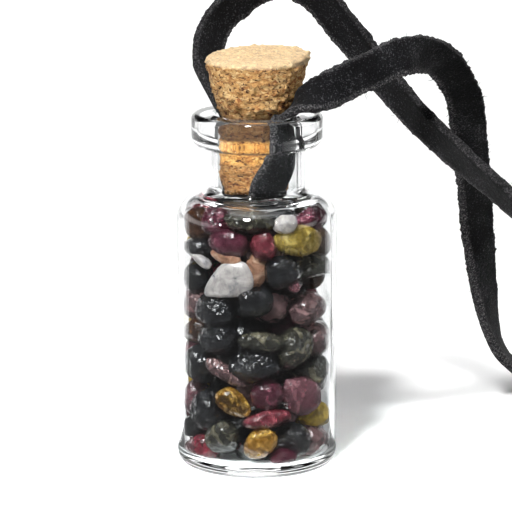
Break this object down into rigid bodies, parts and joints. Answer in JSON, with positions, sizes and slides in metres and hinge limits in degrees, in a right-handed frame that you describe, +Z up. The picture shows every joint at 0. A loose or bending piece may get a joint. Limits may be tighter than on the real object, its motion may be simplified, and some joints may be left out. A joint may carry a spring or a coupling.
{
  "type": "bottle pendant",
  "caption": "Small clear glass vial with a tapered cork, filled with tumbled stone chips, hung on a flat black leather lace that the cork pinches in the neck.",
  "frame": {"origin": "centre of the bottle's base, on the surface it stands on", "axes": "+Z up along the bottle's axis; -Y towards the viewer; +X to the viewer's right, where the lace runs off"},
  "size_m": [0.1211, 0.0775, 0.0678],
  "materials": {
    "clear_glass": "clear, polished",
    "cork": "agglomerated cork, matt",
    "black_leather": "smooth black grain with fuzzy cut edges",
    "stone_mixed": "tumbled, polished",
    "stone_brown": "tumbled, polished",
    "stone_plum": "tumbled, polished",
    "stone_slate": "tumbled, polished",
    "stone_clear": "tumbled, polished",
    "stone_olive": "tumbled, polished",
    "stone_red": "tumbled, polished",
    "stone_black": "tumbled, polished",
    "stone_peach": "tumbled, polished",
    "stone_rose": "tumbled, polished",
    "stone_mauve": "tumbled, polished",
    "stone_gold": "tumbled, polished"
  },
  "bodies": {
    "bottle": {"glass_bottle": "clear_glass", "lace_seat": "black_leather", "lace_left": "black_leather", "lace_right": "black_leather", "lace_knot": "black_leather", "stone_fill": "stone_mixed", "stone_01": "stone_brown", "stone_02": "stone_plum", "stone_03": "stone_plum", "stone_04": "stone_slate", "stone_05": "stone_clear", "stone_06": "stone_plum", "stone_07": "stone_olive", "stone_08": "stone_red", "stone_09": "stone_brown", "stone_10": "stone_black", "stone_11": "stone_clear", "stone_12": "stone_peach", "stone_13": "stone_peach", "stone_14": "stone_clear", "stone_15": "stone_black", "stone_16": "stone_slate", "stone_17": "stone_rose", "stone_18": "stone_black", "stone_19": "stone_black", "stone_20": "stone_mauve", "stone_21": "stone_mauve", "stone_22": "stone_black", "stone_23": "stone_brown", "stone_24": "stone_slate", "stone_25": "stone_black", "stone_26": "stone_mauve", "stone_27": "stone_black", "stone_28": "stone_slate", "stone_29": "stone_black", "stone_30": "stone_mauve", "stone_31": "stone_slate", "stone_32": "stone_plum", "stone_33": "stone_rose", "stone_34": "stone_rose", "stone_35": "stone_gold", "stone_36": "stone_black", "stone_37": "stone_red", "stone_38": "stone_slate", "stone_39": "stone_gold", "stone_40": "stone_black"},
    "stopper": {"cork_stopper": "cork"}
  },
  "joints": [
    {"name": "cork_pull", "type": "slide", "parent": "bottle", "child": "stopper", "axis": [0, 0, 1], "range_m": [0, 0.0125]}
  ]
}
